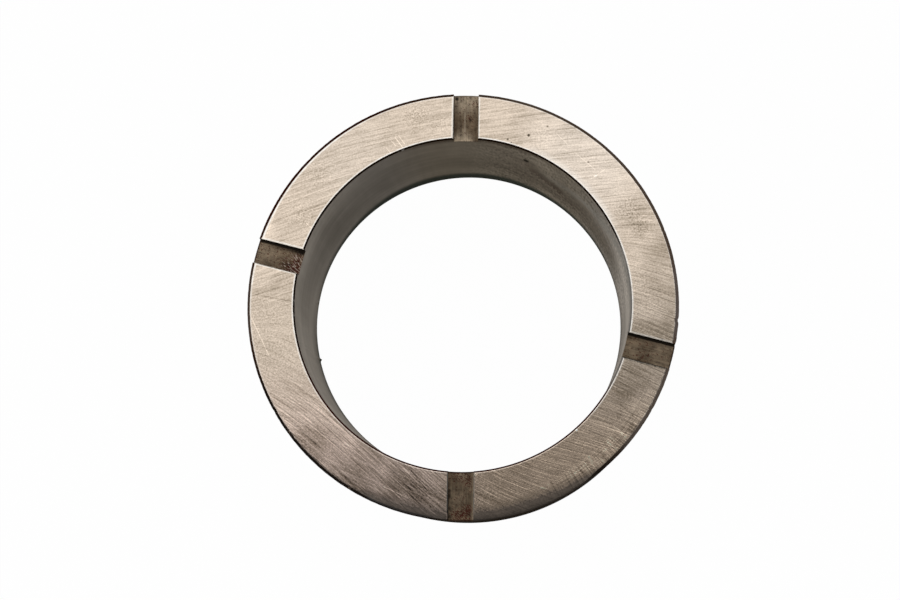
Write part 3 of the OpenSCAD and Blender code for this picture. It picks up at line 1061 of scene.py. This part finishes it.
@dataclass
class BearingRing:
    """The bearing's one piece of metal: the turned ring, less the two passes of the slot cutter."""

    outside_radius: float
    bore_radius: float
    length: float
    outer_chamfer: float
    bore_chamfer: float
    slot_width: float = 4.8 * MM
    slot_depth: float = 1.6 * MM
    slot_corner_radius: float = 0.2 * MM
    slot_edge_break: float = 0.15 * MM
    first_pass_angle: float = 90.0
    first_pass_offset: float = -0.3 * MM
    second_pass_angle: float = 166.0
    second_pass_offset: float = 0.0
    edge_radius: float = 0.06 * MM
    play: float = 0.07 * MM
    skin_drop: float = 0.30 * MM
    chamfer_lean: float = -0.10 * MM
    lean_angle: float = 15.0
    turns: int = 900
    seed: int = 5
    skin_span: tuple[float, ...] = (238.0, 254.0, 290.0, 318.0)
    clearance: float = 2.0 * MM
    slack: float = 0.1 * MM
    sharp_angle: float = 28.0
    face_rows: tuple[float, ...] = (0.25, 0.5, 0.8, 1.1, 1.5, 2.0, 2.6, 3.6, 5.0, 6.6)
    map_steps: int = 2880
    map_window: int = 121

    def build(self) -> bpy.types.Object:
        """Makes the finished ring.

        Returns:
            The ring as a plain mesh, dressed and mapped.
        """
        tree = FormTree("ring_form")
        self.grow(tree)
        blank = bpy.data.objects.new("ring_blank", bpy.data.meshes.new("ring_blank"))
        bpy.context.scene.collection.objects.link(blank)
        form = blank.modifiers.new("form", "NODES")
        form.node_group = tree.tree
        for name, identifier in tree.sockets.items():
            form[identifier] = getattr(self, name.lower().replace(" ", "_"))
        depsgraph = bpy.context.evaluated_depsgraph_get()
        mesh = bpy.data.meshes.new_from_object(blank.evaluated_get(depsgraph), depsgraph=depsgraph)
        blank.modifiers.remove(form)
        bpy.data.objects.remove(blank)
        mesh.name = "ring_metal"
        ring = bpy.data.objects.new("ring_metal", mesh)
        bpy.context.scene.collection.objects.link(ring)
        mesh.shade_smooth()
        mesh.set_sharp_from_angle(angle=math.radians(self.sharp_angle))
        self.map_lay(mesh)
        return ring

    def grow(self, tree: FormTree) -> None:
        """Fills the tree that makes the ring's mesh.

        Args:
            tree: the empty tree.
        """
        size = {name: tree.size(name) for name in (
            "Outside Radius", "Bore Radius", "Length", "Outer Chamfer", "Bore Chamfer", "Slot Width",
            "Slot Depth", "Slot Corner Radius", "Slot Edge Break", "First Pass Angle", "First Pass Offset",
            "Second Pass Angle", "Second Pass Offset", "Edge Radius", "Play", "Skin Drop", "Chamfer Lean")}
        turns = tree.size("Turns", "NodeSocketInt")
        seed = tree.size("Seed", "NodeSocketInt")
        finishes = {region: region.material() for region in Region}
        ring = self.wear(tree, self.sweep(tree, size, turns), size, seed)
        ring = tree.coat(ring, finishes[Region.TURNED])
        cutters = tree.coat(self.cutters(tree, size), finishes[Region.SLOT])
        metal = tree.wire("GeometryNodeMeshBoolean", {"operation": "DIFFERENCE", "solver": "EXACT"},
                          {"Mesh 1": ring, "Mesh 2": cutters})
        metal = tree.wire("GeometryNodeRealizeInstances", None, {0: metal})
        tree.finish(self.dress(tree, metal, size, finishes))

    def sweep(self, tree: FormTree, size: dict[str, Wire], turns: Wire) -> Wire:
        """Sweeps the ring's section round its axis.

        Args:
            tree: the tree that makes the mesh.
            size: its named inputs.
            turns: how many steps the ring has round its axis.

        Returns:
            The plain turned ring.
        """
        inner, outer, top = size["Bore Radius"], size["Outside Radius"], size["Length"]
        lip, brim, edge = size["Bore Chamfer"], size["Outer Chamfer"], size["Edge Radius"]
        guard = edge * 3.0
        middle = (inner + outer) * 0.5
        left, right = inner - middle, outer - middle
        corners = [
            (left, lip + guard, 0.0), (left, lip, edge), (left + lip, 0.0, edge),
            (left + lip + guard, 0.0, 0.0), (right - brim - guard, 0.0, 0.0), (right - brim, 0.0, edge),
            (right, brim, edge), (right, brim + guard, 0.0), (right, top - brim - guard, 0.0),
            (right, top - brim, edge), (right - brim, top, edge),
        ]
        corners += [(right - brim - row * MM, top, 0.0) for row in self.face_rows]
        corners += [(left + lip + guard, top, 0.0), (left + lip, top, edge), (left, top - lip, edge),
                    (left, top - lip - guard, 0.0)]
        circle = tree.wire("GeometryNodeCurvePrimitiveCircle", {"mode": "RADIUS"},
                           {"Resolution": turns, "Radius": middle})
        return tree.sweep(circle, corners, steps=2, caps=False)

    def wear(self, tree: FormTree, ring: Wire, size: dict[str, Wire], seed: Wire) -> Wire:
        """Gives the turned ring its uneven edges, its low unground rim and its nicks.

        Args:
            tree: the tree that makes the mesh.
            ring: the plain turned ring.
            size: the tree's named inputs.
            seed: number that the noise starts from.

        Returns:
            The worn ring, with its unground skin as a named attribute.
        """
        x, y, z = tree.split(tree.wire("GeometryNodeInputPosition"))
        radius = tree.hypot(x, y)
        out_x, out_y = x / radius, y / radius
        angle = tree.turned(x, y)
        phase = seed * 3.7
        slow = tree.grain(out_x, out_y, phase, 3.0, 0.6, 9.0)
        quick = tree.grain(out_x, out_y, phase, 3.0, 0.65, 46.0)
        span = tree.between(angle, *self.skin_span)
        width = (0.4 + span * (1.7 + (slow - 0.5) * 2.2)) * MM
        rim = size["Outside Radius"] - size["Outer Chamfer"]
        inward = rim - radius
        upper = z > size["Length"] - self.slack
        near = tree.clamp(1.0 - inward / width) * upper * (inward > -self.slack)
        ground_off = tree.step(span, 0.05, 0.5)
        skin = near * ground_off
        ring = tree.wire("GeometryNodeStoreNamedAttribute", {"data_type": "FLOAT", "domain": "POINT"},
                         {"Geometry": ring, "Name": SKIN, "Value": skin})
        drop = -(size["Skin Drop"] * skin * skin)
        high = tree.step(z, size["Length"] - 1.2 * MM, size["Length"] - 0.5 * MM)
        edge = high * tree.step(inward, 0.5 * MM, 0.0)
        push = (quick - 0.62) * size["Play"] * 2.0 * edge
        for nick in NICKS:
            off = abs(angle - nick.angle)
            push = push + tree.step(off, nick.spread, 0.0) * nick.reach * edge
        lean = 0.5 + 0.5 * tree.maths("COSINE", (angle - self.lean_angle) * TO_RADIANS)
        crest = upper * tree.step(abs(inward), 0.12 * MM, 0.06 * MM)
        shed = ground_off * ground_off
        push = push.least(0.0)
        push = push + crest * (lean * (1.0 - shed) * size["Chamfer Lean"] + shed * size["Skin Drop"])
        foot = tree.step(z, 0.9 * MM, 0.2 * MM)
        foot = foot * tree.step(radius, size["Bore Radius"] + 1.0 * MM, size["Bore Radius"])
        push = push + tree.step(abs(angle - BURR.angle), BURR.spread, 0.0) * BURR.reach * foot
        offset = tree.combine(out_x * push, out_y * push, drop)
        return tree.wire("GeometryNodeSetPosition", None, {"Geometry": ring, "Offset": offset})

    def cutters(self, tree: FormTree, size: dict[str, Wire]) -> Wire:
        """Makes the metal that the two passes of the slot cutter take away.

        Args:
            tree: the tree that makes the mesh.
            size: its named inputs.

        Returns:
            Both passes as one mesh.
        """
        half = size["Slot Width"] * 0.5
        bevel, depth = size["Slot Edge Break"], size["Slot Depth"]
        above = depth + self.clearance
        mouth = half + bevel
        corner = size["Slot Corner Radius"]
        corners = [
            (-half, 0.0, corner), (half, 0.0, corner), (half, depth - bevel, 0.0), (mouth, depth, 0.0),
            (mouth, above, 0.0), (-mouth, above, 0.0), (-mouth, depth, 0.0), (-half, depth - bevel, 0.0),
        ]
        reach = size["Outside Radius"] + self.clearance
        line = tree.wire("GeometryNodeCurvePrimitiveLine", {"mode": "POINTS"},
                         {"Start": tree.combine(-reach, 0.0), "End": tree.combine(reach, 0.0)})
        bar = tree.sweep(line, corners, steps=6, caps=True)
        angles = [size["First Pass Angle"] * TO_RADIANS, size["Second Pass Angle"] * TO_RADIANS]
        offsets = [size["First Pass Offset"], size["Second Pass Offset"]]
        floor = size["Length"] - depth
        spots = [tree.combine(-(tree.maths("SINE", a) * o), tree.maths("COSINE", a) * o, floor)
                 for a, o in zip(angles, offsets)]
        points = tree.wire("GeometryNodePoints", None,
                           {"Count": len(spots), "Position": tree.choose("VECTOR", spots)})
        turn = tree.choose("VECTOR", [tree.combine(0.0, 0.0, a) for a in angles])
        placed = tree.wire("GeometryNodeInstanceOnPoints", None,
                           {"Points": points, "Instance": bar, "Rotation": turn})
        return tree.wire("GeometryNodeRealizeInstances", None, {0: placed})

    def dress(self, tree: FormTree, metal: Wire, size: dict[str, Wire],
              finishes: dict[Region, bpy.types.Material]) -> Wire:
        """Gives every surface its own material.

        Args:
            tree: the tree that makes the mesh.
            metal: the cut ring, whose turned walls and slots have their materials already.
            size: the tree's named inputs.
            finishes: the material of every surface.

        Returns:
            The dressed ring.
        """
        x, y, z = tree.split(tree.wire("GeometryNodeInputPosition"))
        nx, ny, nz = tree.split(tree.wire("GeometryNodeInputNormal"))
        radius = tree.hypot(x, y)
        outward = (nx * x + ny * y) / radius
        top = size["Length"]
        leaning = (abs(nz) > 0.25) * (abs(nz) < 0.87)
        masks = {
            Region.THRUST_FACE: (nz > 0.86) * (z > top - 0.9 * MM),
            Region.BORE: outward < -0.9,
            Region.OUTER_CHAMFER: leaning * (outward > 0.3),
            Region.BORE_CHAMFER: leaning * (outward < -0.3),
            Region.SLOT_WALL: (abs(outward) < 0.3) * (abs(nz) < 0.5),
            Region.SLOT_EDGE: (abs(outward) < 0.3) * leaning * (z > top - size["Slot Edge Break"]),
        }
        for region, mask in masks.items():
            metal = tree.coat(metal, finishes[region], mask)
        return metal

    def map_lay(self, mesh: bpy.types.Mesh) -> None:
        """Maps each surface in metres along and across its tool marks.

        Args:
            mesh: the finished mesh, which gets the map as its own.
        """
        spots = np.empty(len(mesh.vertices) * 3)
        mesh.vertices.foreach_get("co", spots)
        corner = self.numbers(mesh.loops, "vertex_index")
        totals = self.numbers(mesh.polygons, "loop_total")
        kinds = self.numbers(mesh.polygons, "material_index")
        owner = np.repeat(np.arange(len(totals)), totals)
        place = spots.reshape(-1, 3)[corner]
        centre = np.zeros((len(totals), 3))
        np.add.at(centre, owner, place)
        middle = (centre / totals[:, None])[owner]
        made = self.face_lay(place, middle)
        slot = kinds[owner] == mesh.materials.find(Region.SLOT.name.lower())
        made[slot] = self.slot_lay(place, middle)[slot]
        layer = mesh.uv_layers.new(name=LAY_MAP)
        layer.data.foreach_set("uv", made.astype(np.float32).ravel())

    @staticmethod
    def numbers(items: Any, name: str) -> np.ndarray:
        """Reads one whole number of every element of a mesh.

        Args:
            items: the mesh's corners or faces.
            name: the property that is read.

        Returns:
            The numbers in order.
        """
        values = np.empty(len(items), dtype=np.int32)
        items.foreach_get(name, values)
        return values

    def face_lay(self, place: np.ndarray, middle: np.ndarray) -> np.ndarray:
        """Works out the map of the thrust face, along and across the grinding strokes.

        Args:
            place: the corners' positions.
            middle: the middles of the faces that they belong to.

        Returns:
            Two map values for every corner.
        """
        cut = math.radians(self.second_pass_angle)
        mean = (self.outside_radius + self.bore_radius) / 2
        wide = self.map_window
        steps = np.linspace(0.0, TURN, self.map_steps + 1)
        lean = np.interp(np.degrees(steps + cut), [s.place for s in STROKES], [s.lean for s in STROKES],
                         period=FULL_TURN)
        window = np.hanning(wide)
        padded = np.concatenate([lean[-wide:], lean, lean[:wide]])
        lean = np.radians(np.convolve(padded, window / window.sum(), mode="same")[wide:-wide])
        off = steps + cut - lean
        pace = steps[1] - steps[0]
        across = np.concatenate([[0.0], np.cumsum(np.cos(off[:-1]))]) * mean * pace
        along = -np.concatenate([[0.0], np.cumsum(np.sin(off[:-1]))]) * mean * pace
        angle = np.mod(np.arctan2(place[:, 1], place[:, 0]) - cut, TURN)
        home = np.mod(np.arctan2(middle[:, 1], middle[:, 0]) - cut, TURN)
        angle = angle + TURN * np.round((home - angle) / TURN)
        radius = np.hypot(place[:, 0], place[:, 1]) - mean
        turned = np.interp(angle, steps, off)
        u = np.interp(angle, steps, along) + radius * np.cos(turned)
        v = np.interp(angle, steps, across) + radius * np.sin(turned)
        return np.column_stack([u, v])

    def slot_lay(self, place: np.ndarray, middle: np.ndarray) -> np.ndarray:
        """Works out the map of the slots, along and across the cutter's passes.

        Args:
            place: the corners' positions.
            middle: the middles of the faces that they belong to.

        Returns:
            Two map values for every corner.
        """
        best = np.full(len(place), np.inf)
        made = np.zeros((len(place), 2))
        for angle, offset in ((self.first_pass_angle, self.first_pass_offset),
                              (self.second_pass_angle, self.second_pass_offset)):
            cos, sin = math.cos(math.radians(angle)), math.sin(math.radians(angle))
            aside = np.abs(cos * middle[:, 1] - sin * middle[:, 0] - offset)
            along = cos * place[:, 0] + sin * place[:, 1]
            across = cos * place[:, 1] - sin * place[:, 0] - offset
            nearer = aside < best
            made[nearer] = np.column_stack([along, across])[nearer]
            best = np.minimum(best, aside)
        return made


@dataclass
class Studio:
    """A plain pale floor and a low wall round it, with a soft lamp overhead and one at each side."""

    wall_radius: float = 2.5
    wall_height: float = 1.0
    bend: float = 0.5
    steps: int = 96
    world_level: float = 0.19
    floor_glow: float = 0.985
    lamps: tuple[tuple[str, Vector, Vector, Point, float], ...] = (
        ("overhead", Vector((-0.130, 0.390, 0.807)), Vector((0.0, 0.0, 0.03)), (1.1, 0.75), 0.93),
        ("left_fill", Vector((-0.85, -0.50, 0.55)), Vector((0.0, 0.0, 0.02)), (0.9, 0.6), 2.4),
        ("right_fill", Vector((0.90, -0.40, 0.55)), Vector((0.0, 0.0, 0.02)), (0.9, 0.6), 1.5),
    )

    def build(self) -> bpy.types.Object:
        """Makes the studio.

        Returns:
            The floor with its wall.
        """
        self.set_world()
        for name, spot, aim, size, level in self.lamps:
            self.add_lamp(name, spot, aim, size, level)
        return self.add_floor()

    def set_world(self) -> None:
        """Sets a plain grey world."""
        world = bpy.data.worlds.new("studio_air")
        bpy.context.scene.world = world
        world.use_nodes = True
        tree = Tree(world.node_tree)
        tree.tree.nodes.clear()
        sky = tree.wire("ShaderNodeBackground", None, {"Color": WHITE, "Strength": self.world_level})
        tree.node("ShaderNodeOutputWorld", None, {"Surface": sky})

    def add_lamp(self, name: str, spot: Vector, aim: Vector, size: Point, level: float) -> None:
        """Hangs a soft square lamp.

        Args:
            name: the lamp's name.
            spot: where it hangs.
            aim: the point that it faces.
            size: its width and height.
            level: its brightness, where a white wall is 1.
        """
        lamp = bpy.data.lights.new(name, "AREA")
        lamp.shape = "RECTANGLE"
        lamp.size, lamp.size_y = size
        lamp.energy = level * math.pi * size[0] * size[1]
        holder = bpy.data.objects.new(name, lamp)
        holder.location = spot
        holder.rotation_mode = "QUATERNION"
        holder.rotation_quaternion = (aim - spot).to_track_quat("-Z", "Y")
        holder.visible_camera = False
        bpy.context.scene.collection.objects.link(holder)

    def add_floor(self) -> bpy.types.Object:
        """Makes the floor, which bends up into a low wall round it.

        Returns:
            The floor.
        """
        flat = self.wall_radius - self.bend
        quarter = [math.radians(a) for a in range(0, 91, 10)]
        section = [(0.2, 0.0), (flat * 0.5, 0.0)]
        section += [(flat + self.bend * math.sin(a), self.bend * (1 - math.cos(a))) for a in quarter]
        section += [(self.wall_radius, self.wall_height)]
        points = [(0.0, 0.0, 0.0)]
        for radius, height in section:
            for step in range(self.steps):
                angle = TURN * step / self.steps
                points.append((radius * math.cos(angle), radius * math.sin(angle), height))
        sides = [(0, 1 + s, 1 + (s + 1) % self.steps) for s in range(self.steps)]
        for row in range(len(section) - 1):
            low = 1 + row * self.steps
            high = low + self.steps
            for step in range(self.steps):
                following = (step + 1) % self.steps
                sides.append((low + step, high + step, high + following, low + following))
        mesh = bpy.data.meshes.new("studio_floor")
        mesh.from_pydata(points, [], sides)
        mesh.shade_smooth()
        mesh.materials.append(self.floor_material())
        floor = bpy.data.objects.new("studio_floor", mesh)
        bpy.context.scene.collection.objects.link(floor)
        return floor

    def floor_material(self) -> bpy.types.Material:
        """Makes the pale floor, white to the camera and in reflections, which keeps a faint shadow.

        Returns:
            The floor's material.
        """
        made = bpy.data.materials.new("studio_white")
        paint = Paint(made)
        rays = paint.node("ShaderNodeLightPath").outputs
        seen = Wire(paint, rays["Is Camera Ray"]).most(Wire(paint, rays["Is Glossy Ray"]))
        seen = seen.most(Wire(paint, rays["Is Transmission Ray"]))
        matt = paint.wire("ShaderNodeBsdfDiffuse", None, {"Color": (0.9, 0.9, 0.9, 1.0)})
        glow = paint.wire("ShaderNodeEmission", None, {"Color": WHITE, "Strength": 1.0})
        mixed = paint.wire("ShaderNodeMixShader", None, {0: seen * self.floor_glow, 1: matt, 2: glow})
        paint.feed(paint.output.inputs["Surface"], mixed)
        return made


@dataclass
class PhotoCamera:
    """The camera at the photograph's place: above the ring, leaning towards its near side."""

    lens: float = 60.45
    sensor: float = 36.0
    distance: float = 285.18 * MM
    lean_x: float = -0.15689
    lean_y: float = -0.051185
    roll: float = math.radians(0.43)
    shift_x: float = 2.185 * MM
    shift_y: float = -0.462 * MM
    clip: Point = (0.01, 50.0)

    def build(self, height: float) -> bpy.types.Object:
        """Makes the scene's camera.

        Args:
            height: how high the thrust face stands.

        Returns:
            The camera.
        """
        lens = bpy.data.cameras.new("photo_camera")
        lens.lens = self.lens
        lens.sensor_width = self.sensor
        lens.clip_start, lens.clip_end = self.clip
        camera = bpy.data.objects.new("photo_camera", lens)
        bpy.context.scene.collection.objects.link(camera)
        tilt = Matrix.Rotation(self.lean_y, 3, "Y") @ Matrix.Rotation(self.lean_x, 3, "X")
        axes = Matrix.Rotation(self.roll, 3, "Z") @ tilt.transposed()
        spot = axes @ Vector((-self.shift_x, -self.shift_y, self.distance)) + Vector((0.0, 0.0, height))
        camera.matrix_world = Matrix.Translation(spot) @ axes.to_4x4()
        bpy.context.scene.camera = camera
        return camera


def half_missing(length: float, mount: dict[str, Any]) -> float:
    """Returns a chamfer's height, from the ring's length and the mount on the wall that it shortens."""
    return (length - mount["dims"]["length_mm"] * MM) / 2


def ring_from_frame() -> BearingRing:
    """Takes the ring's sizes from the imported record.

    Returns:
        The ring, ready to build.
    """
    mounts = {mount["name"]: mount for mount in frame["record"]["mounts"]}
    low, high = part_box(NODE)
    length = high.z - low.z
    bore, seat = mounts["bore"], mounts["housing_seat"]
    return BearingRing(
        outside_radius=seat["dims"]["r_mm"] * MM,
        bore_radius=bore["dims"]["r_mm"] * MM,
        length=length,
        outer_chamfer=half_missing(length, seat),
        bore_chamfer=half_missing(length, bore),
    )


def main() -> None:
    """Builds the studio, the camera and the ring."""
    logging.basicConfig(level=logging.INFO, format="%(message)s")
    bpy.context.scene.view_settings.view_transform = "Standard"
    maker = ring_from_frame()
    PhotoCamera().build(maker.length)
    LOG.info("camera set %.3f m above the floor", bpy.context.scene.camera.location.z)
    floor = Studio().build()
    LOG.info("studio: %s", floor.name)
    ring = maker.build()
    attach(ring, "root")
    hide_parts(NODE)
    LOG.info("%s: %d faces", ring.name, len(ring.data.polygons))


if __name__ == "__main__":
    main()
